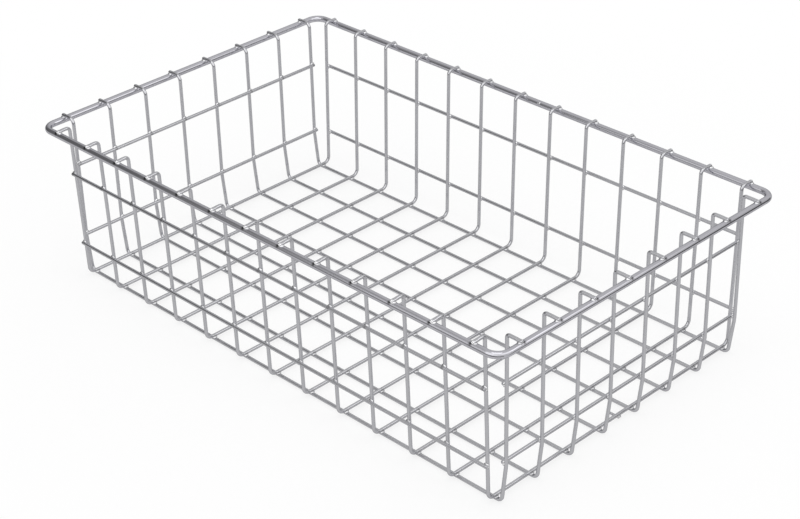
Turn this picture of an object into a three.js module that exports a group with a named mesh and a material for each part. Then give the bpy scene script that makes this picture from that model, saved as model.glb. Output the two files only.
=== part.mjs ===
// Gastronorm wire basket, size 1/1, 150 mm deep.
// A flat mat of wires, welded at every crossing, is folded up into a tray. The wire ends turn outwards
// on top of a thick rim wire and are welded to it. X runs along the basket, Y across it, +Z up, all in
// millimetres. The origin is at the middle of the underside.
import * as THREE from "three";

// Overall size
const RIM_LENGTH = 530; // over the rim wire, along X
const RIM_WIDTH = 325; // over the rim wire, along Y
const HEIGHT = 150.5; // from the underside of the bottom wires to the top of the tails

// Wires
const RIM_WIRE = 5.8; // diameter
const MESH_WIRE = 3; // diameter of every wire but the rim
const CROSS_WIRES = 13; // side by side along X
const LONG_WIRES = 8; // side by side along Y
const WELD_GAP = 0.1; // between two wires where they cross

// Bends, all radii to the wire's axis
const RIM_CORNER = 11;
const SIDE_TOP_BEND = 3.5; // from a long side wall out to its tails
const LEFT_TOP_BEND = 5; // the same on the left end wall
const RIGHT_TOP_BEND = 2.5; // and on the right one
const SIDE_BEND = 6; // from the bottom up to a long side wall
const END_BEND = 5; // from the bottom up to an end wall
const TOE_BEND = 20; // where an end wall starts to lean in, just below its lower rail
const BEND_STEP = THREE.MathUtils.degToRad(18); // greatest turn between two sections

// Walls
const END_TAIL = 15.5; // from an end wall's axis out to the rim's outer edge
const SIDE_TAIL = 13.7; // the same on the two long sides
const TAIL_INSET = 0.8; // from a tail's cut end to the rim's outer edge
const TOE_ANGLE = THREE.MathUtils.degToRad(7); // of an end wall below its lower rail; it is upright above
const SIDE_LEAN = 4; // a side wall's foot lies this far in from its top
const LAST_RUN = 1.8; // straight bottom wire between the outermost crossing and the bend

// Rails, heights to the wire's axis
const SIDE_RAILS = { upper: 104, lower: 35.4 };
const END_RAILS = { upper: 106.3, lower: 37.8 };
const RAIL_OVERHANG = 1.8; // past the axis of the outermost wire that a rail is welded to

// Butt weld that closes the rim, and the stub on the right end
const WELD_AT = 19.5; // along X, on the back side
const WELD_LENGTH = 2;
const STUB_WIRE = 2.2; // diameter
const STUB_LENGTH = 9;
const STUB_OVERHANG = 1.2; // past the axis of the last cross wire
const STUB_AT = 3.8; // along Y

// Sides of the wires' sections
const MESH_SIDES = 8;
const RIM_SIDES = 12;

// Finishes: polished steel, the drawn mesh wire a little duller than the rim, the dressed weld duller still
const MESH_FINISH = { color: 0xb2b2b5, roughness: 0.28, metalness: 1 };
const RIM_FINISH = { color: 0xb2b2b5, roughness: 0.2, metalness: 1 };
const WELD_FINISH = { color: 0xdbdbdc, roughness: 0.4, metalness: 1 };

// Heights of the layers
const crossing = MESH_WIRE + WELD_GAP; // between the axes of two crossing wires
const longAxis = MESH_WIRE / 2;
const crossAxis = longAxis + crossing;
const tailAxis = HEIGHT - MESH_WIRE / 2;
const rimAxis = tailAxis - MESH_WIRE / 2 - WELD_GAP - RIM_WIRE / 2;

// Wall lines: the axis of a wall's wires at its top and at its foot
const endTop = RIM_LENGTH / 2 - END_TAIL;
const toeHeight = END_RAILS.lower - MESH_WIRE / 2 - TOE_BEND * Math.tan(TOE_ANGLE / 2);
const endFoot = endTop - (toeHeight - longAxis) * Math.tan(TOE_ANGLE);
const sideTop = RIM_WIDTH / 2 - SIDE_TAIL;
const sideFoot = sideTop - SIDE_LEAN;
const leanAngle = Math.atan2(SIDE_LEAN, tailAxis - crossAxis);

// The outermost crossings lie just inside the bottom bends
const bendRun = (radius, lean) => radius * Math.tan((Math.PI / 2 - lean) / 2);
const lastCross = endFoot - bendRun(END_BEND, TOE_ANGLE) - LAST_RUN;
const lastLong = sideFoot - bendRun(SIDE_BEND, leanAngle) - LAST_RUN;

// Even places from -last to +last
function places(count, last) {
  return Array.from({ length: count }, (_, i) => -last + (2 * last * i) / (count - 1));
}

// Axis of a side wall's wires at a height
function sideWallAt(z) {
  return sideFoot + (SIDE_LEAN * (z - crossAxis)) / (tailAxis - crossAxis);
}

// A wire's axis: straight runs between its bends, given section by section
class WireAxis extends THREE.Curve {
  constructor() {
    super();
    this.sections = [];
  }

  add(point, tangent) {
    this.sections.push({ point, tangent });
  }

  section(u) {
    return this.sections[Math.round(u * (this.sections.length - 1))];
  }

  getPointAt(u, target = new THREE.Vector3()) {
    return target.copy(this.section(u).point);
  }

  getTangentAt(u, target = new THREE.Vector3()) {
    return target.copy(this.section(u).tangent);
  }
}

// A corner of a wire's path and the bend's radius there; the two ends have none
const corner = (x, y, z, radius = 0) => ({ at: new THREE.Vector3(x, y, z), radius });

// Rounds a path's corners into bends
function bend(corners) {
  const axis = new WireAxis();
  const heading = (i) => corners[i + 1].at.clone().sub(corners[i].at).normalize();
  axis.add(corners[0].at, heading(0));
  for (let i = 1; i < corners.length - 1; i++) {
    const before = heading(i - 1);
    const after = heading(i);
    const turn = before.angleTo(after);
    const inward = after.clone().sub(before).normalize();
    const centre = corners[i].at.clone().addScaledVector(inward, corners[i].radius / Math.cos(turn / 2));
    const hinge = before.clone().cross(after).normalize();
    const start = corners[i].at.clone().addScaledVector(before, -corners[i].radius * Math.tan(turn / 2));
    const steps = Math.max(1, Math.ceil(turn / BEND_STEP));
    for (let k = 0; k <= steps; k++) {
      const angle = (turn * k) / steps;
      const point = start.clone().sub(centre).applyAxisAngle(hinge, angle).add(centre);
      axis.add(point, before.clone().applyAxisAngle(hinge, angle));
    }
  }
  axis.add(corners.at(-1).at, heading(corners.length - 2));
  return axis;
}

// A section whose flats, one of them facing straight down, are a diameter apart
function section(diameter, sides) {
  const reach = diameter / 2 / Math.cos(Math.PI / sides);
  const points = Array.from({ length: sides }, (_, i) => {
    const angle = ((2 * i + 1) * Math.PI) / sides;
    return new THREE.Vector2(reach * Math.cos(angle), reach * Math.sin(angle));
  });
  return new THREE.Shape(points);
}

// A wire bent round its corners, as a named mesh
function wire(name, corners, diameter, sides, finish) {
  const axis = bend(corners);
  const geometry = new THREE.ExtrudeGeometry(section(diameter, sides), {
    extrudePath: axis,
    steps: axis.sections.length - 1,
  });
  const mesh = new THREE.Mesh(geometry, new THREE.MeshStandardMaterial(finish));
  mesh.name = name;
  return mesh;
}

function meshWire(name, corners) {
  return wire(name, corners, MESH_WIRE, MESH_SIDES, MESH_FINISH);
}

// The rim: bent from one length of wire, both ends meeting at the butt weld on the back side
function rimWire() {
  const x = (RIM_LENGTH - RIM_WIRE) / 2;
  const y = (RIM_WIDTH - RIM_WIRE) / 2;
  const end = WELD_LENGTH / 2 + WELD_GAP;
  const corners = [
    corner(WELD_AT - end, y, rimAxis),
    corner(-x, y, rimAxis, RIM_CORNER),
    corner(-x, -y, rimAxis, RIM_CORNER),
    corner(x, -y, rimAxis, RIM_CORNER),
    corner(x, y, rimAxis, RIM_CORNER),
    corner(WELD_AT + end, y, rimAxis),
  ];
  return wire("rim_wire", corners, RIM_WIRE, RIM_SIDES, RIM_FINISH);
}

// The weld metal between the rim's ends, dressed flush with the wire
function rimButtWeld() {
  const y = (RIM_WIDTH - RIM_WIRE) / 2;
  const half = WELD_LENGTH / 2;
  const corners = [corner(WELD_AT - half, y, rimAxis), corner(WELD_AT + half, y, rimAxis)];
  return wire("rim_butt_weld", corners, RIM_WIRE, RIM_SIDES, WELD_FINISH);
}

// A cross wire: tail on the front rim, side wall, bottom, side wall, tail on the back rim
function crossWire(name, x) {
  const tip = RIM_WIDTH / 2 - TAIL_INSET;
  return meshWire(name, [
    corner(x, -tip, tailAxis),
    corner(x, -sideTop, tailAxis, SIDE_TOP_BEND),
    corner(x, -sideFoot, crossAxis, SIDE_BEND),
    corner(x, sideFoot, crossAxis, SIDE_BEND),
    corner(x, sideTop, tailAxis, SIDE_TOP_BEND),
    corner(x, tip, tailAxis),
  ]);
}

// A long wire: tail on the left rim, end wall, bottom, end wall, tail on the right rim
function longWire(name, y) {
  const tip = RIM_LENGTH / 2 - TAIL_INSET;
  return meshWire(name, [
    corner(-tip, y, tailAxis),
    corner(-endTop, y, tailAxis, LEFT_TOP_BEND),
    corner(-endTop, y, toeHeight, TOE_BEND),
    corner(-endFoot, y, longAxis, END_BEND),
    corner(endFoot, y, longAxis, END_BEND),
    corner(endTop, y, toeHeight, TOE_BEND),
    corner(endTop, y, tailAxis, RIGHT_TOP_BEND),
    corner(tip, y, tailAxis),
  ]);
}

// A rail outside a side wall, square to the wall's lean
function sideRail(name, side, z) {
  const y = side * (sideWallAt(z) + crossing / Math.cos(leanAngle));
  const end = lastCross + RAIL_OVERHANG;
  return meshWire(name, [corner(-end, y, z), corner(end, y, z)]);
}

// A rail inside an end wall
function endRail(name, side, z) {
  const x = side * (endTop - crossing);
  const end = lastLong + RAIL_OVERHANG;
  return meshWire(name, [corner(x, -end, z), corner(x, end, z)]);
}

// The off-cut of thinner wire under the last cross wire, pointing into the basket
function endStub() {
  const end = lastCross + STUB_OVERHANG;
  const z = crossAxis - MESH_WIRE / 2 - WELD_GAP - STUB_WIRE / 2;
  const corners = [corner(end - STUB_LENGTH, STUB_AT, z), corner(end, STUB_AT, z)];
  return wire("end_stub", corners, STUB_WIRE, MESH_SIDES, MESH_FINISH);
}

const mat = new THREE.Group();
places(CROSS_WIRES, lastCross).forEach((x, i) => {
  mat.add(crossWire("cross_wire_" + String(i + 1).padStart(2, "0"), x));
});
places(LONG_WIRES, lastLong).forEach((y, i) => {
  mat.add(longWire("long_wire_" + (i + 1), y));
});
for (const level of ["upper", "lower"]) {
  mat.add(sideRail("front_rail_" + level, -1, SIDE_RAILS[level]));
  mat.add(sideRail("back_rail_" + level, 1, SIDE_RAILS[level]));
  mat.add(endRail("left_rail_" + level, -1, END_RAILS[level]));
  mat.add(endRail("right_rail_" + level, 1, END_RAILS[level]));
}
mat.add(endStub());

const rim = new THREE.Group();
rim.add(rimWire(), rimButtWeld());

const basket = new THREE.Group();
basket.add(rim, mat);

export default basket;
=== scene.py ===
"""Gastronorm wire basket: the drawn wires, their welds and their finish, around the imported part.

Metres, +Z up, the origin at the middle of the underside. X runs along the basket and Y across it.
"""
import math

import bpy
from mathutils import Matrix, Vector


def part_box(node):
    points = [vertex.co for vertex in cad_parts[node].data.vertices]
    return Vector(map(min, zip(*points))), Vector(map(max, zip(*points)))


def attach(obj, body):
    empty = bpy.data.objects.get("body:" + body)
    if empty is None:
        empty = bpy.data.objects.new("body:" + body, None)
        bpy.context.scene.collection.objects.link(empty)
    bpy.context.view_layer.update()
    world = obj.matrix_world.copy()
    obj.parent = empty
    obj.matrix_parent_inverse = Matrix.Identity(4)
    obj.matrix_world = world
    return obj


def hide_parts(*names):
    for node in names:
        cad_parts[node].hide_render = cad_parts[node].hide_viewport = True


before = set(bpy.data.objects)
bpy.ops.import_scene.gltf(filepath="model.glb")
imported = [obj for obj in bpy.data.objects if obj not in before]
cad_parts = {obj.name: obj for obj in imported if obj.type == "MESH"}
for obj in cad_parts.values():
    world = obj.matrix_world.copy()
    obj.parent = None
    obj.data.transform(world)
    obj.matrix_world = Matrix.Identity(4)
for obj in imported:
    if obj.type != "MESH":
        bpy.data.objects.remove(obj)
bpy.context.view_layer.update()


# Long wires
# Eight lengths of bright drawn steel wire, the lower layer of a flat welded mat. Both ends are folded up
# into the end walls, which toe in near the bottom, and turn outwards at the top into tails for the rim.
LONG_WIRES = 8
CROSS_WIRES = 13  # of the layer that lies on them
WIRE = 0.003  # diameter
SET_DOWN = 0.0006  # how far two wires are pressed into each other where they are welded
LEFT_TOP_BEND = 0.005  # from an end wall out to its tails; all bends are radii to the wire's axis
RIGHT_TOP_BEND = 0.0025
END_BEND = 0.005  # from the bottom up to an end wall
TOE_BEND = 0.02  # where an end wall starts to lean in
TOE_ANGLE = math.radians(7)  # of an end wall below its lower rail
END_TAIL = 0.0155  # from an end wall's axis out to the rim's outer edge


def middle(node):
    """Middle of a solid's box."""
    low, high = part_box(node)
    return (low + high) / 2


long_places = [middle(f"long_wire_{i}").y for i in range(1, LONG_WIRES + 1)]
cross_places = [middle(f"cross_wire_{i:02}").x for i in range(1, CROSS_WIRES + 1)]
long_pitch = long_places[1] - long_places[0]
cross_pitch = cross_places[1] - cross_places[0]
rim_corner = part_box("rim_wire")[1]
low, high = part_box("long_wire_1")
long_axis = low.z + WIRE / 2
tail_axis = high.z - WIRE / 2 - SET_DOWN
end_wall = rim_corner.x - END_TAIL
toe_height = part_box("right_rail_lower")[0].z - TOE_BEND * math.tan(TOE_ANGLE / 2)
end_foot = end_wall - (toe_height - long_axis) * math.tan(TOE_ANGLE)

# Rings and edges of a bent and cut wire
WIRE_SIDES = 20
BEND_STEP = math.radians(9)  # greatest turn between two rings of a bend
RING_GAP = 0.0011  # between the two rings at either end of a straight run
CUT_EDGE = 0.0009  # rounding of a wire's cut ends
CUT_SEGMENTS = 3
CUT_ANGLE = math.radians(60)  # only the edges of a cut end are as sharp as this
SMOOTH_ANGLE = math.radians(25)  # blunter edges than this are shaded smooth
PRESSED = 0.0045  # length of a tail's tip that the welder flattens
PRESSED_RUN = 0.0015  # from the round wire to the flattened tip
PRESSED_WIDTH = 1.12  # of the flattened tip, to the round wire's
PRESSED_HEIGHT = 0.92


def bent_wire(name, path, thickness=WIRE, sides=WIRE_SIDES, cut_edge=CUT_EDGE):
    """A round wire along (corner, bend radius) places: extruded along the runs, spun round the bends."""
    corners = [Vector(corner) for corner, _ in path]
    headings = [(end - start).normalized() for start, end in zip(corners, corners[1:])]
    bpy.ops.object.select_all(action="DESELECT")
    bpy.ops.mesh.primitive_circle_add(
        vertices=sides,
        radius=thickness / 2,
        fill_type="NGON",
        location=corners[0],
        rotation=headings[0].to_track_quat("Z", "Y").to_euler(),
    )
    wire = bpy.context.object
    wire.name = name
    bpy.ops.object.transform_apply(location=True, rotation=True, scale=True)
    bpy.ops.object.mode_set(mode="EDIT")
    bpy.ops.mesh.select_all(action="SELECT")
    here = corners[0]

    def run_to(end, heading):
        """A straight run, with rings that keep its ends crisp and let its tips be flattened."""
        length = (end - here).length
        rings = [RING_GAP, length - RING_GAP, length]
        if length > 2 * PRESSED:
            rings += [PRESSED, PRESSED + PRESSED_RUN, length - PRESSED - PRESSED_RUN, length - PRESSED]
        done = 0
        for ring in sorted(rings):
            bpy.ops.mesh.extrude_region_move(TRANSFORM_OT_translate={"value": heading * (ring - done)})
            done = ring

    for i in range(1, len(path) - 1):
        before, after, radius = headings[i - 1], headings[i], path[i][1]
        turn = before.angle(after)
        reach = radius * math.tan(turn / 2)
        start = corners[i] - before * reach
        inward = (after - before * before.dot(after)).normalized()
        run_to(start, before)
        bpy.ops.mesh.spin(
            steps=math.ceil(turn / BEND_STEP),
            angle=turn,
            center=start + inward * radius,
            axis=after.cross(before).normalized(),
        )
        here = corners[i] + after * reach
    run_to(corners[-1], headings[-1])
    bpy.ops.mesh.select_all(action="SELECT")
    bpy.ops.mesh.normals_make_consistent(inside=False)
    bpy.ops.object.mode_set(mode="OBJECT")
    bpy.ops.object.modifier_add(type="BEVEL")
    cut = wire.modifiers[-1]
    cut.width = cut_edge
    cut.segments = CUT_SEGMENTS
    cut.limit_method = "ANGLE"
    cut.angle_limit = CUT_ANGLE
    bpy.ops.object.modifier_apply(modifier=cut.name)
    bpy.ops.object.shade_smooth_by_angle(angle=SMOOTH_ANGLE)
    return wire


def press_tips(wire, along, tip, size):
    """Flattens both tips of a wire where the welder presses its tails on to the rim."""
    for side in (-1, 1):
        bpy.ops.object.mode_set(mode="EDIT")
        bpy.ops.mesh.select_mode(type="VERT")
        bpy.ops.mesh.select_all(action="DESELECT")
        bpy.ops.object.mode_set(mode="OBJECT")
        for vertex in wire.data.vertices:
            vertex.select = side * vertex.co[along] > tip - PRESSED - RING_GAP / 2
        chosen = [vertex.co for vertex in wire.data.vertices if vertex.select]
        centre = sum(chosen, Vector()) / len(chosen)
        foot = min(place.z for place in chosen)
        bpy.ops.object.mode_set(mode="EDIT")
        bpy.ops.transform.resize(value=size, center_override=(centre.x, centre.y, foot))
        bpy.ops.object.mode_set(mode="OBJECT")


def copy_of(piece, name, move):
    """A copy of a finished piece, moved, with a mesh of its own."""
    bpy.ops.object.select_all(action="DESELECT")
    piece.select_set(True)
    bpy.context.view_layer.objects.active = piece
    bpy.ops.object.duplicate_move(TRANSFORM_OT_translate={"value": move})
    copy = bpy.context.object
    copy.name = name
    bpy.ops.object.transform_apply(location=True, rotation=True, scale=True)
    return copy


def add_node(tree, kind, settings=None, **sockets):
    """A node with its settings; each socket, by name or _number, gets a value or is linked to an output."""
    node = tree.nodes.new(kind)
    for key, value in (settings or {}).items():
        setattr(node, key, value)
    for key, value in sockets.items():
        socket = node.inputs[int(key[1:])] if key[0] == "_" else node.inputs[key.replace("_", " ")]
        if isinstance(value, bpy.types.NodeSocket):
            tree.links.new(value, socket)
        else:
            socket.default_value = value
    return node


def mixed_colour(tree, share, first, second, way="MIX"):
    """Colour that goes from the first to the second with the share."""
    settings = {"data_type": "RGBA", "blend_type": way}
    return add_node(tree, "ShaderNodeMix", settings, _0=share, _6=first, _7=second).outputs[2]


def eased(tree, value, start, end, at_start, at_end):
    """Level that eases from one figure to another while a value goes from start to end."""
    return add_node(
        tree,
        "ShaderNodeMapRange",
        {"interpolation_type": "SMOOTHSTEP"},
        Value=value,
        From_Min=start,
        From_Max=end,
        To_Min=at_start,
        To_Max=at_end,
    ).outputs["Result"]


def shader_group(name, inputs, outputs):
    """An empty group of shader nodes with named sockets, with the ends of its tree."""
    group = bpy.data.node_groups.new(name, "ShaderNodeTree")
    for label, kind in inputs.items():
        group.interface.new_socket(label, in_out="INPUT", socket_type=kind)
    for label in outputs:
        group.interface.new_socket(label, in_out="OUTPUT", socket_type="NodeSocketFloat")
    return group, group.nodes.new("NodeGroupInput").outputs, group.nodes.new("NodeGroupOutput").inputs


# Lines that the drawing die leaves along a wire, scaled by the stretch, and the broader dull patches that
# polishing leaves
LINES_ALONG = 30  # noise to the metre along a wire
LINES_ACROSS = 4000  # and across it
LINE_DETAIL = 2.0
PATCHES = 45.0  # noise to the metre
PATCH_DETAIL = 3.0
drawn_surface, given, put = shader_group(
    "drawn_surface", {"Stretch": "NodeSocketVector"}, ["Lines", "Patches"]
)
at = add_node(drawn_surface, "ShaderNodeTexCoord").outputs["Object"]
stretched = add_node(
    drawn_surface, "ShaderNodeVectorMath", {"operation": "MULTIPLY"}, _0=at, _1=given["Stretch"]
).outputs["Vector"]
lines = add_node(drawn_surface, "ShaderNodeTexNoise", Vector=stretched, Scale=1.0, Detail=LINE_DETAIL)
patches = add_node(drawn_surface, "ShaderNodeTexNoise", Vector=at, Scale=PATCHES, Detail=PATCH_DETAIL)
drawn_surface.links.new(lines.outputs["Fac"], put["Lines"])
drawn_surface.links.new(patches.outputs["Fac"], put["Patches"])

# Mask of marks on a wire at the points of a grid, for weld heat with painted shade and for painted
# highlights: 1 at a point, falling to 0 at the reach
grid_mark, given, put = shader_group(
    "grid_mark",
    {"Origin": "NodeSocketVector", "Pitch": "NodeSocketVector", "Reach": "NodeSocketFloat"},
    ["Mark"],
)
at = add_node(grid_mark, "ShaderNodeTexCoord").outputs["Object"]
offset = add_node(grid_mark, "ShaderNodeVectorMath", {"operation": "SUBTRACT"}, _0=at, _1=given["Origin"])
half = add_node(grid_mark, "ShaderNodeVectorMath", {"operation": "SCALE"}, _0=given["Pitch"], Scale=0.5)
back = add_node(grid_mark, "ShaderNodeVectorMath", {"operation": "SCALE"}, _0=given["Pitch"], Scale=-0.5)
cell = add_node(
    grid_mark,
    "ShaderNodeVectorMath",
    {"operation": "WRAP"},
    _0=offset.outputs["Vector"],
    _1=half.outputs["Vector"],
    _2=back.outputs["Vector"],
).outputs["Vector"]
distance = add_node(grid_mark, "ShaderNodeVectorMath", {"operation": "LENGTH"}, _0=cell).outputs["Value"]
grid_mark.links.new(eased(grid_mark, distance, 0.0, given["Reach"], 1.0, 0.0), put["Mark"])

# Finish of the drawn wire
STEEL = (0.455, 0.455, 0.475, 1)
STEEL_DULL = (0.395, 0.395, 0.41, 1)  # in the dull patches
EDGE_TINT = (0.55, 0.55, 0.56, 1)  # of what the steel mirrors at a glancing angle
REFLECTION_LIFT = (1.6, 1.6, 1.6, 1)  # painted brightening of steel that is seen in other steel, which would lose the light twice
ROUGHNESS = (0.11, 0.19)  # of the bright steel and of the dull patches
ALL_DULL = 0.3  # the patches' noise where the steel is as dull as it gets
ALL_BRIGHT = 0.7  # and as bright
LINE_DEPTH = 0.00005
LINE_STRENGTH = 0.15  # share of that depth which shows


def drawn_steel(name, stretch, marks, roughness=ROUGHNESS, bright=STEEL, dull=STEEL_DULL):
    """Bright steel with fine lines, dull patches, marks painted on grids (weld heat with painted shade,
    painted highlights on tips) and a painted brightening where other steel mirrors it.

    The stretch is the lines' noise to the metre along X, Y and Z. Each mark is (where the grid of welds
    starts, its pitch, how far the mark reaches, its colour).
    """
    material = bpy.data.materials.new(name)
    material.use_nodes = True
    tree = material.node_tree
    shader = tree.nodes["Principled BSDF"]
    shader.inputs["Metallic"].default_value = 1
    shader.inputs["Specular Tint"].default_value = EDGE_TINT
    surface = add_node(tree, "ShaderNodeGroup", {"node_tree": drawn_surface}, Stretch=stretch).outputs
    colour = mixed_colour(tree, surface["Patches"], dull, bright)
    for origin, pitch, reach, tint in marks:
        share = add_node(
            tree, "ShaderNodeGroup", {"node_tree": grid_mark}, Origin=origin, Pitch=pitch, Reach=reach
        ).outputs["Mark"]
        colour = mixed_colour(tree, share, colour, tint)
    # Painted brightening: the steel's colour is lifted where other steel mirrors it
    mirrored = add_node(tree, "ShaderNodeLightPath").outputs["Is Glossy Ray"]
    reflection_lifted = mixed_colour(tree, mirrored, colour, REFLECTION_LIFT, "MULTIPLY")
    tree.links.new(reflection_lifted, shader.inputs["Base Color"])
    smooth, rough = roughness
    dulling = add_node(
        tree,
        "ShaderNodeMapRange",
        Value=surface["Patches"],
        From_Min=ALL_DULL,
        From_Max=ALL_BRIGHT,
        To_Min=rough,
        To_Max=smooth,
    ).outputs["Result"]
    tree.links.new(dulling, shader.inputs["Roughness"])
    relief = add_node(
        tree, "ShaderNodeBump", Strength=LINE_STRENGTH, Distance=LINE_DEPTH, Height=surface["Lines"]
    ).outputs["Normal"]
    tree.links.new(relief, shader.inputs["Normal"])
    return material


WELD_HEAT_AND_SHADE = (0.03, 0.029, 0.03, 1)  # steel darkened round a weld: weld heat, and painted shade in the crevice where two wires cross
HEAT_AND_SHADE_REACH = 0.0032  # from the middle of the crossing
FAR = 10.0  # a pitch so wide that the welds don't repeat
# Weld heat and painted crevice shade darken every crossing of the floor's wires
floor_heat_and_shade = (
    (cross_places[0], long_places[0], long_axis + WIRE / 2),
    (cross_pitch, long_pitch, FAR),
    HEAT_AND_SHADE_REACH,
    WELD_HEAT_AND_SHADE,
)

tip = high.x
y = long_places[0]
first = bent_wire(
    "drawn_long_wire_1",
    [
        ((-tip, y, tail_axis), 0),
        ((-end_wall, y, tail_axis), LEFT_TOP_BEND),
        ((-end_wall, y, toe_height), TOE_BEND),
        ((-end_foot, y, long_axis), END_BEND),
        ((end_foot, y, long_axis), END_BEND),
        ((end_wall, y, toe_height), TOE_BEND),
        ((end_wall, y, tail_axis), RIGHT_TOP_BEND),
        ((tip, y, tail_axis), 0),
    ],
)
press_tips(first, 0, tip, (1, PRESSED_WIDTH, PRESSED_HEIGHT))
long_wire_steel = drawn_steel("long_wire_steel", (LINES_ALONG, LINES_ACROSS, LINES_ALONG), [floor_heat_and_shade])
first.data.materials.append(long_wire_steel)
for i, y in enumerate(long_places, 1):
    wire = first if i == 1 else copy_of(first, f"drawn_long_wire_{i}", (0, y - long_places[0], 0))
    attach(wire, "root")
    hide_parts(f"long_wire_{i}")


# Cross wires
# Thirteen lengths of the same wire, laid on the long wires and welded to them at every crossing. They are
# folded up into the side walls, which lean out a little, and turn outwards at the top into tails.
SIDE_TOP_BEND = 0.0035  # from a side wall out to its tails
SIDE_BEND = 0.006  # from the bottom up to a side wall
SIDE_TAIL = 0.0137  # from a side wall's axis out to the rim's outer edge
SIDE_LEAN = 0.004  # a side wall's foot lies this far in from its top
PAINTED_TIP_HIGHLIGHT = (0.88, 0.88, 0.89, 1)  # painted highlight: a tail's tip painted near white where it would catch the light
TIP_HIGHLIGHT_REACH = 0.0027
low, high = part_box("cross_wire_01")
cross_axis = low.z + WIRE / 2 - SET_DOWN
side_wall = rim_corner.y - SIDE_TAIL
side_foot = side_wall - SIDE_LEAN
tip = high.y
x = cross_places[0]
first = bent_wire(
    "drawn_cross_wire_01",
    [
        ((x, -tip, tail_axis), 0),
        ((x, -side_wall, tail_axis), SIDE_TOP_BEND),
        ((x, -side_foot, cross_axis), SIDE_BEND),
        ((x, side_foot, cross_axis), SIDE_BEND),
        ((x, side_wall, tail_axis), SIDE_TOP_BEND),
        ((x, tip, tail_axis), 0),
    ],
)
press_tips(first, 1, tip, (PRESSED_WIDTH, 1, PRESSED_HEIGHT))
# A painted highlight lightens the tip of every tail
highlighted_tips = ((x, -tip, tail_axis), (cross_pitch, 2 * tip, FAR), TIP_HIGHLIGHT_REACH, PAINTED_TIP_HIGHLIGHT)
first.data.materials.append(
    drawn_steel("cross_wire_steel", (LINES_ACROSS, LINES_ALONG, LINES_ALONG), [floor_heat_and_shade, highlighted_tips])
)
for i, x in enumerate(cross_places, 1):
    wire = first if i == 1 else copy_of(first, f"drawn_cross_wire_{i:02}", (x - cross_places[0], 0, 0))
    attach(wire, "root")
    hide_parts(f"cross_wire_{i:02}")


# Side rails
# Two straight lengths of the same drawn wire on each long side, which stiffen the wall. They lie outside it
# and are welded to every cross wire.
RAIL_HEAT_AND_SHADE_REACH = 0.0026
first = None
for node in ("front_rail_upper", "front_rail_lower", "back_rail_upper", "back_rail_lower"):
    low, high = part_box(node)
    place = (low + high) / 2
    place.y -= math.copysign(SET_DOWN, place.y)
    if first is None:
        rail = bent_wire(
            "drawn_" + node, [((low.x, place.y, place.z), 0), ((high.x, place.y, place.z), 0)]
        )
        welds_at = (cross_places[0], place.y, place.z)
        # Weld heat and painted crevice shade darken the rail at every crossing
        rail_heat_and_shade = (welds_at, (cross_pitch, FAR, FAR), RAIL_HEAT_AND_SHADE_REACH, WELD_HEAT_AND_SHADE)
        rail.data.materials.append(
            drawn_steel("side_rail_steel", (LINES_ALONG, LINES_ACROSS, LINES_ACROSS), [rail_heat_and_shade])
        )
        first, first_place = rail, place
    else:
        rail = copy_of(first, "drawn_" + node, place - first_place)
    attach(rail, "root")
    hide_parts(node)


# End rails
# Two straight lengths of the same drawn wire at each end. They lie inside the end wall, above its lean, and
# are welded to every long wire.
first = None
for node in ("left_rail_upper", "left_rail_lower", "right_rail_upper", "right_rail_lower"):
    low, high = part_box(node)
    place = (low + high) / 2
    place.x += math.copysign(SET_DOWN, place.x)
    if first is None:
        rail = bent_wire(
            "drawn_" + node, [((place.x, low.y, place.z), 0), ((place.x, high.y, place.z), 0)]
        )
        welds_at = (place.x, long_places[0], place.z)
        # Weld heat and painted crevice shade darken the rail at every crossing
        rail_heat_and_shade = (welds_at, (FAR, long_pitch, FAR), RAIL_HEAT_AND_SHADE_REACH, WELD_HEAT_AND_SHADE)
        rail.data.materials.append(
            drawn_steel("end_rail_steel", (LINES_ACROSS, LINES_ALONG, LINES_ACROSS), [rail_heat_and_shade])
        )
        first, first_place = rail, place
    else:
        rail = copy_of(first, "drawn_" + node, place - first_place)
    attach(rail, "root")
    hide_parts(node)


# End stub
# A short off-cut of thinner drawn wire at the middle of the right end, pointing into the basket. It is
# welded to the underside of the last cross wire.
low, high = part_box("end_stub")
place = (low + high) / 2
stub_wire = high.z - low.z
stub = bent_wire(
    "drawn_end_stub", [((low.x, place.y, place.z), 0), ((high.x, place.y, place.z), 0)], stub_wire
)
stub.data.materials.append(long_wire_steel)
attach(stub, "root")
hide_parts("end_stub")


# Rim
# One length of thicker polished steel wire, bent round the top under the tails. Its two ends are butt
# welded on the back side and dressed flush. Dark marks painted on its front and right sides beside the
# tails stand for weld scorch and for painted shade in the crevice under each tail.
RIM_WIRE = 0.0058  # diameter
RIM_SIDES = 32
RIM_CORNER = 0.011  # bend radius, to the wire's axis
RIM_STEEL = (0.459, 0.455, 0.487, 1)
RIM_DULL = (0.401, 0.397, 0.424, 1)  # in the dull patches
RIM_ROUGHNESS = (0.1, 0.17)  # of the bright steel and of the dull patches
RIM_LINES_ALONG = 25  # noise to the metre along the rim
RIM_LINES_ACROSS = 3000
FLUSH = 0.00001  # the dressed ends have next to no edge left
SCORCH_AND_SHADE_REACH = 0.0026
FRONT_SCORCH_AND_SHADE = (-0.0021, -0.0017, -0.0008)  # painted crevice shade and weld scorch, from where a front tail crosses the rim's highest line
RIGHT_SCORCH_AND_SHADE = (0.0013, 0.0021, -0.0003)  # the same at the right end
weld_low, weld_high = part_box("rim_butt_weld")
rim_axis = rim_corner.z - RIM_WIRE / 2
rim_x = rim_corner.x - RIM_WIRE / 2
rim_y = rim_corner.y - RIM_WIRE / 2
on_front = Vector((cross_places[0], -rim_y, rim_corner.z)) + Vector(FRONT_SCORCH_AND_SHADE)
on_right = Vector((rim_x, long_places[0], rim_corner.z)) + Vector(RIGHT_SCORCH_AND_SHADE)
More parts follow.
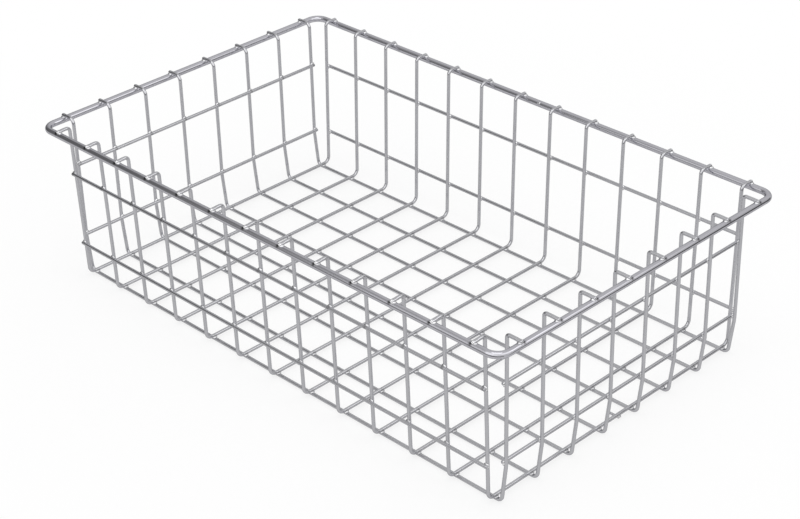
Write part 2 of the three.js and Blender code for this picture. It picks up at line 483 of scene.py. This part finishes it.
# Dark marks beside the front and right tails: weld scorch and painted shade of the crevice under each tail
scorch_and_shade = [
    (on_front, (cross_pitch, FAR, FAR), SCORCH_AND_SHADE_REACH, WELD_HEAT_AND_SHADE),
    (on_right, (FAR, long_pitch, FAR), SCORCH_AND_SHADE_REACH, WELD_HEAT_AND_SHADE),
]
rim = bent_wire(
    "bent_rim_wire",
    [
        ((weld_low.x, rim_y, rim_axis), 0),
        ((-rim_x, rim_y, rim_axis), RIM_CORNER),
        ((-rim_x, -rim_y, rim_axis), RIM_CORNER),
        ((rim_x, -rim_y, rim_axis), RIM_CORNER),
        ((rim_x, rim_y, rim_axis), RIM_CORNER),
        ((weld_high.x, rim_y, rim_axis), 0),
    ],
    RIM_WIRE,
    RIM_SIDES,
    FLUSH,
)
rim_stretch = (RIM_LINES_ALONG, RIM_LINES_ALONG, RIM_LINES_ACROSS)
rim_steel = drawn_steel("polished_rim_steel", rim_stretch, scorch_and_shade, RIM_ROUGHNESS, RIM_STEEL, RIM_DULL)
rim.data.materials.append(rim_steel)
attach(rim, "root")
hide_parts("rim_wire")

bead = bent_wire(
    "rim_weld_bead",
    [((weld_low.x, rim_y, rim_axis), 0), ((weld_high.x, rim_y, rim_axis), 0)],
    RIM_WIRE,
    RIM_SIDES,
    FLUSH,
)
bead.data.materials.append(rim_steel)
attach(bead, "root")
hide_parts("rim_butt_weld")


# Welds
# Spots of steel squeezed out where two crossing wires were pressed together and resistance welded, their
# metal painted much brighter than the wire as a painted glint.
# Each shows as four small lobes in the corners of its crossing. A nub is left on the rim's butt weld.
SPOT = (0.0019, 0.0011)  # reach along the wires, and half its height
RIM_SPOT = (0.0016, 0.0012)
NUB = (0.0008, 0.0006)
NUB_ANGLE = math.radians(40)  # up from the rim's inner side
SPOT_SEGMENTS = 8
SPOT_RINGS = 6
LOBE = 1.45  # reach into a corner, to that along a wire
DIAGONAL = 0.01  # how closely a point's X and Y agree where it lies in a corner
UNEVEN = 0.00025  # how far a spot's points are moved at random
UNEVEN_OUTWARD = 0.5  # share of that which is straight out of the spot
TAIL_SHIFTS = {  # of the tails' welds off the middle of their crossings, along X and Y
    "front": (0.0006, 0),
    "back": (0.0011, 0.0003),
    "left": (0.0005, -0.001),
    "right": (0, -0.0006),
}
# Painted glint: the spots' bright metal is painted much brighter than the wire's steel
WELD_GLINT_BRIGHT = (0.8, 0.8, 0.81, 1)
WELD_DULL = (0.32, 0.32, 0.33, 1)
WELD_ROUGHNESS = (0.16, 0.3)  # of the bright metal and of the dull patches
WELD_GRAIN = (900, 900, 900)  # noise to the metre
RAILS_ON_A_WALL = 2
weld_steel = drawn_steel("weld_spot_steel", WELD_GRAIN, [], WELD_ROUGHNESS, WELD_GLINT_BRIGHT, WELD_DULL)


def weld_spots(name, place, turn, size, rows):
    """One spot turned to face out of its crossing, then repeated along each (step, count) row."""
    bpy.ops.object.select_all(action="DESELECT")
    bpy.ops.mesh.primitive_uv_sphere_add(segments=SPOT_SEGMENTS, ring_count=SPOT_RINGS, radius=1)
    spots = bpy.context.object
    spots.name = name
    for vertex in spots.data.vertices:
        vertex.select = math.isclose(abs(vertex.co.x), abs(vertex.co.y), rel_tol=DIAGONAL)
    bpy.ops.object.mode_set(mode="EDIT")
    bpy.ops.mesh.select_mode(type="VERT")
    bpy.ops.transform.resize(value=(LOBE, LOBE, 1))
    bpy.ops.object.mode_set(mode="OBJECT")
    spots.scale = (size[0], size[0], size[1])
    spots.rotation_euler = turn
    spots.location = place
    bpy.ops.object.transform_apply(location=True, rotation=True, scale=True)
    for step, count in rows:
        bpy.ops.object.modifier_add(type="ARRAY")
        row = spots.modifiers[-1]
        row.count = count
        row.use_relative_offset = False
        row.use_constant_offset = True
        row.constant_offset_displace = step
        bpy.ops.object.modifier_apply(modifier=row.name)
    bpy.ops.object.mode_set(mode="EDIT")
    bpy.ops.mesh.select_all(action="SELECT")
    bpy.ops.transform.vertex_random(offset=UNEVEN, normal=UNEVEN_OUTWARD, seed=len(rows))
    bpy.ops.object.mode_set(mode="OBJECT")
    bpy.ops.object.shade_smooth()
    spots.data.materials.append(weld_steel)
    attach(spots, "root")


along_cross = ((cross_pitch, 0, 0), CROSS_WIRES)
along_long = ((0, long_pitch, 0), LONG_WIRES)
flat = (0, 0, 0)
facing_y = (math.pi / 2, 0, 0)
facing_x = (0, math.pi / 2, 0)
floor_contact = (long_axis + cross_axis) / 2
floor_corner = (cross_places[0], long_places[0], floor_contact)
weld_spots("floor_welds", floor_corner, flat, SPOT, [along_cross, along_long])
for side, inward in (("front", 1), ("back", -1)):
    upper, lower = middle(side + "_rail_upper"), middle(side + "_rail_lower")
    contact = Vector((cross_places[0], lower.y + inward * (WIRE / 2 + SET_DOWN / 2), lower.z))
    to_upper = ((0, upper.y - lower.y, upper.z - lower.z), RAILS_ON_A_WALL)
    weld_spots(side + "_rail_welds", contact, facing_y, SPOT, [along_cross, to_upper])
for end, outward in (("left", -1), ("right", 1)):
    upper, lower = middle(end + "_rail_upper"), middle(end + "_rail_lower")
    contact = Vector((lower.x + outward * (WIRE / 2 + SET_DOWN / 2), long_places[0], lower.z))
    to_upper = ((0, 0, upper.z - lower.z), RAILS_ON_A_WALL)
    weld_spots(end + "_rail_welds", contact, facing_x, SPOT, [along_long, to_upper])
rim_contact = rim_corner.z - SET_DOWN / 2
for side, x, y, row in (
    ("front", cross_places[0], -rim_y, along_cross),
    ("back", cross_places[0], rim_y, along_cross),
    ("left", -rim_x, long_places[0], along_long),
    ("right", rim_x, long_places[0], along_long),
):
    shift_x, shift_y = TAIL_SHIFTS[side]
    contact = (x + shift_x, y + shift_y, rim_contact)
    weld_spots(side + "_tail_welds", contact, flat, RIM_SPOT, [row])
nub_at = Vector((0, -math.cos(NUB_ANGLE), math.sin(NUB_ANGLE))) * RIM_WIRE / 2
nub_at += Vector(((weld_low.x + weld_high.x) / 2, rim_y, rim_axis))
weld_spots("rim_weld_nub", nub_at, (math.pi / 2 - NUB_ANGLE, 0, 0), NUB, [])
weld_spots("stub_weld", (cross_places[-1], middle("end_stub").y, floor_contact), flat, SPOT, [])


# Floor
# A plain sheet of pale paper that the basket stands on, wider than any view of it. It is seen as white, and
# near the basket it still shows the soft shadow.
FLOOR_SIZE = 8
PAPER = (0.95, 0.95, 0.95, 1)
WHITE = (1, 1, 1, 1)
SHADED_TO = 0.25  # up to this far from the middle the shadow shows most
SHADED_WHITE = 0.75  # share of plain white up to there
PLAIN_FROM = 0.7  # from this far out the paper is seen as plain white


def seen_rays(tree):
    """1 for a ray that shows a thing, straight, off metal or through glass, and 0 for one that lights."""
    ray = add_node(tree, "ShaderNodeLightPath").outputs
    seen = add_node(
        tree, "ShaderNodeMath", {"operation": "MAXIMUM"}, _0=ray["Is Camera Ray"], _1=ray["Is Glossy Ray"]
    ).outputs["Value"]
    return add_node(
        tree, "ShaderNodeMath", {"operation": "MAXIMUM"}, _0=seen, _1=ray["Is Transmission Ray"]
    ).outputs["Value"]


bpy.ops.object.select_all(action="DESELECT")
bpy.ops.mesh.primitive_plane_add(size=FLOOR_SIZE, location=(0, 0, 0))
floor = bpy.context.object
floor.name = "pale_floor"
paper = bpy.data.materials.new("pale_paper")
paper.use_nodes = True
tree = paper.node_tree
tree.nodes.remove(tree.nodes["Principled BSDF"])
sheet = add_node(tree, "ShaderNodeBsdfDiffuse", Color=PAPER).outputs["BSDF"]
at = add_node(tree, "ShaderNodeTexCoord").outputs["Object"]
spread = add_node(tree, "ShaderNodeVectorMath", {"operation": "LENGTH"}, _0=at).outputs["Value"]
share = eased(tree, spread, SHADED_TO, PLAIN_FROM, SHADED_WHITE, 1.0)
white_share = add_node(
    tree, "ShaderNodeMath", {"operation": "MULTIPLY"}, _0=seen_rays(tree), _1=share
).outputs["Value"]
white = add_node(tree, "ShaderNodeEmission", Color=WHITE, Strength=1.0).outputs["Emission"]
mixed = add_node(tree, "ShaderNodeMixShader", _0=white_share, _1=sheet, _2=white).outputs["Shader"]
tree.links.new(mixed, tree.nodes["Material Output"].inputs["Surface"])
floor.data.materials.append(paper)


# Studio light
# An even white surround and two large soft lamps above the basket. Graded cards, which show only in what
# the steel mirrors, are the bright fronts and dark flags of a studio and give the wires their bands.
SURROUND_LIGHT = 0.92  # where the surround lights the basket
SURROUND_SEEN = 1.0  # where it is seen
BASKET = (0, 0, 0.1)  # what the lamps and most cards face
world = bpy.data.worlds.new("studio")
bpy.context.scene.world = world
world.use_nodes = True
tree = world.node_tree
level = add_node(
    tree, "ShaderNodeMapRange", Value=seen_rays(tree), To_Min=SURROUND_LIGHT, To_Max=SURROUND_SEEN
).outputs["Result"]
tree.links.new(level, tree.nodes["Background"].inputs["Strength"])
tree.nodes["Background"].inputs["Color"].default_value = WHITE


def soft_lamp(name, place, size, power):
    """An area lamp turned towards the basket, which the steel doesn't mirror."""
    bpy.ops.object.light_add(type="AREA", location=place)
    lamp = bpy.context.object
    lamp.name = name
    lamp.data.shape = "RECTANGLE"
    lamp.data.size, lamp.data.size_y = size
    lamp.data.energy = power
    lamp.rotation_euler = (Vector(BASKET) - Vector(place)).to_track_quat("-Z", "Y").to_euler()
    lamp.visible_glossy = False


soft_lamp("back_box", (0.85, 0.97, 1.12), size=(0.95, 0.45), power=1.4)
soft_lamp("top_box", (0.25, -0.25, 1.5), size=(0.6, 0.6), power=2.4)


def graded_card(name, place, aim, size, levels, span=(-0.5, 0.5), way=(0, 1, 0)):
    """A card facing a point that shows only in reflections.

    Its level goes from the first to the second over the span, a share of the card's size along a way across
    it, or outwards from its middle where there is no way.
    """
    turn = (Vector(aim) - Vector(place)).to_track_quat("Z", "Y").to_euler()
    bpy.ops.mesh.primitive_plane_add(size=1, location=place, rotation=turn)
    card = bpy.context.object
    card.name = name
    card.scale = (*size, 1)
    card.visible_camera = False
    card.visible_diffuse = False
    card.visible_shadow = False
    card.visible_transmission = False
    material = bpy.data.materials.new(name)
    material.use_nodes = True
    tree = material.node_tree
    at = add_node(tree, "ShaderNodeTexCoord").outputs["Object"]
    if way is None:
        across = add_node(tree, "ShaderNodeVectorMath", {"operation": "LENGTH"}, _0=at)
    else:
        across = add_node(tree, "ShaderNodeVectorMath", {"operation": "DOT_PRODUCT"}, _0=at, _1=way)
    grade = eased(tree, across.outputs["Value"], *span, *levels)
    glow = add_node(tree, "ShaderNodeEmission", Color=WHITE, Strength=grade).outputs["Emission"]
    tree.links.new(glow, tree.nodes["Material Output"].inputs["Surface"])
    card.data.materials.append(material)


graded_card(
    "left_card",
    place=(-1.6, -0.84, -0.1),
    aim=(0, -0.84, -0.1),
    size=(4.4, 6.3),
    levels=(0.16, 0.9),
    span=(0.08, 0.5),
    way=None,
)
graded_card(
    "left_flag",
    place=(-0.38, -0.28, 0.62),
    aim=(0, -0.28, 0.62),
    size=(0.28, 0.86),
    levels=(0.22, 0.66),
)
graded_card(
    "right_card",
    place=(1, 1.15, 0.8),
    aim=(0, 1.15, 0.8),
    size=(1.4, 1.4),
    levels=(0.85, 2.5),
    span=(-0.007, 0.507),
    way=(1, 1, 0),
)
graded_card(
    "front_card",
    place=(-0.66, -1.97, 1.15),
    aim=(0, 0, 0.144),
    size=(1.55, 0.8),
    levels=(1.3, 1.3),
)
graded_card(
    "front_flag",
    place=(-0.2, -0.5, 0.09),
    aim=(-0.2, 0, 0.09),
    size=(1.5, 0.18),
    levels=(0.52, 0.32),
)
graded_card(
    "right_flag",
    place=(0.55, 0.35, 0.15),
    aim=(0, 0.35, 0.15),
    size=(1.7, 0.3),
    levels=(0.15, 1.0),
    span=(0, 0.12),
    way=(0.714, 0.3, 0),
)
NEAR_RANGE = 1.6  # of the three cards round the camera's side, from the basket's middle
NEAR_HEIGHT = 1.15
NEAR_SIZE = (1.6, 2.0)
for name, azimuth, level in (("near_front", 274, 1.8), ("near_corner", 317, 1.55), ("near_right", 0, 1.8)):
    turn = math.radians(azimuth)
    place = (NEAR_RANGE * math.cos(turn), NEAR_RANGE * math.sin(turn), NEAR_HEIGHT)
    graded_card(name, place, BASKET, NEAR_SIZE, levels=(level, level))
graded_card(
    "corner_flag",
    place=(0.435, -0.332, 0.062),
    aim=(0.258, -0.155, 0.062),
    size=(0.8, 0.12),
    levels=(0.1, 0.9),
    span=(0, 0.5),
)
graded_card("over_card", place=(0.3, -0.3, 1.75), aim=BASKET, size=(0.9, 0.9), levels=(2.3, 2.3))


# Camera
# Where the photograph was taken from: above the front right corner, with a lens of moderate length and a
# slight roll.
CAMERA_AT = (1.015015, -0.988116, 0.878736)
CAMERA_TURN = math.radians(45.6376)  # about the vertical
CAMERA_TILT = math.radians(59.6782)  # up from straight down
CAMERA_ROLL = math.radians(-1.4054)
LENS = 87.7438  # millimetres, on the sensor's width
SENSOR_WIDTH = 36
bpy.ops.object.camera_add(location=CAMERA_AT)
camera = bpy.context.object
camera.rotation_mode = "QUATERNION"
camera.rotation_quaternion = (
    Matrix.Rotation(CAMERA_TURN, 3, "Z")
    @ Matrix.Rotation(CAMERA_TILT, 3, "X")
    @ Matrix.Rotation(CAMERA_ROLL, 3, "Z")
).to_quaternion()
camera.data.lens = LENS
camera.data.sensor_width = SENSOR_WIDTH
bpy.context.scene.camera = camera

bpy.context.scene.view_settings.view_transform = "Standard"
